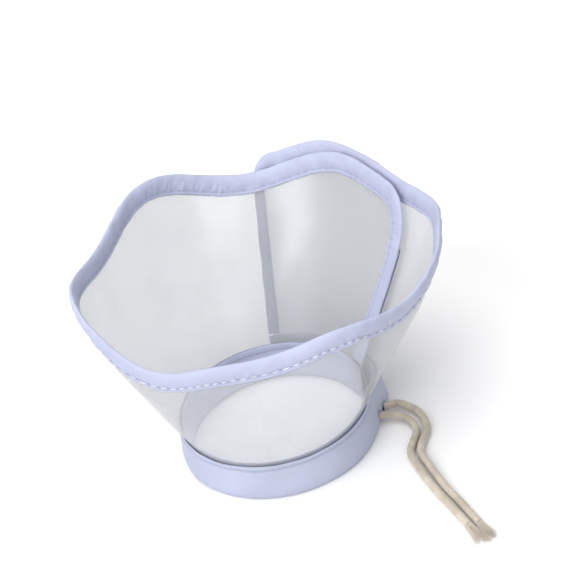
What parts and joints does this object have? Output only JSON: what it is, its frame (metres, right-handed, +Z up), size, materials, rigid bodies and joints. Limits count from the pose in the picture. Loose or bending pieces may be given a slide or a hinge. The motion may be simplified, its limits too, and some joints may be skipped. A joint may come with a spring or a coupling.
{
  "type": "elizabethan collar",
  "caption": "Clear film cone collar for a cat: scalloped fabric-bound rim, overlapping ends with a hook-and-loop closure, soft neck band with a drawstring.",
  "frame": {"origin": "middle of the cone's outline seen from above, on the plane that the neck band stands on; the free drawstring tails aren't counted", "axes": "+Z up through the open rim; +X towards the side where the drawstring leaves the neck band; +Y towards the overlap at the back"},
  "size_m": [0.1851, 0.2155, 0.1207],
  "materials": {
    "clear_film": "clear flexible PVC film, 0.5 mm, glossy with a faint haze",
    "lavender_tape": "folded satin-faced polyester binding tape, lavender",
    "lavender_band": "soft double-layer polyester fabric, lavender",
    "white_thread": "white polyester sewing thread",
    "lavender_thread": "lavender polyester sewing thread",
    "cotton_cord": "natural undyed cotton cord",
    "frayed_cotton": "loose natural cotton strands",
    "hook_tape": "nylon hook tape, lavender grey",
    "loop_tape": "brushed nylon loop tape, lavender grey"
  },
  "bodies": {
    "collar": {"film_main": "clear_film", "rim_tape_main": "lavender_tape", "rim_thread_main": "white_thread", "neck_band_main": "lavender_band", "neck_thread_main": "lavender_thread", "cased_cord_main": "cotton_cord", "cord_tail_back": "cotton_cord", "cord_tail_front": "cotton_cord", "frayed_end_back": "frayed_cotton", "frayed_end_front": "frayed_cotton"},
    "outer_end": {"film_outer_end": "clear_film", "rim_tape_outer_end": "lavender_tape", "rim_thread_outer_end": "white_thread", "neck_band_outer_end": "lavender_band", "neck_thread_outer_end": "lavender_thread", "cased_cord_outer_end": "cotton_cord", "end_tape_outer": "lavender_tape", "end_thread_outer": "white_thread", "loop_strip": "loop_tape"},
    "inner_end": {"film_inner_end": "clear_film", "rim_tape_inner_end": "lavender_tape", "rim_thread_inner_end": "white_thread", "neck_band_inner_end": "lavender_band", "neck_thread_inner_end": "lavender_thread", "cased_cord_inner_end": "cotton_cord", "end_tape_inner": "lavender_tape", "hook_strip": "hook_tape"}
  },
  "joints": [
    {"name": "outer_end_hinge", "type": "hinge", "parent": "collar", "child": "outer_end", "pos_m": [0.04788, -0.00056, 0], "axis": [-0.3668, -0.051, -0.9289], "range_deg": [0, 20]},
    {"name": "inner_end_hinge", "type": "hinge", "parent": "collar", "child": "inner_end", "pos_m": [-0.01685, 0.03372, 0.02], "axis": [-0.0112, -0.4523, -0.8918], "range_deg": [0, 30]}
  ]
}
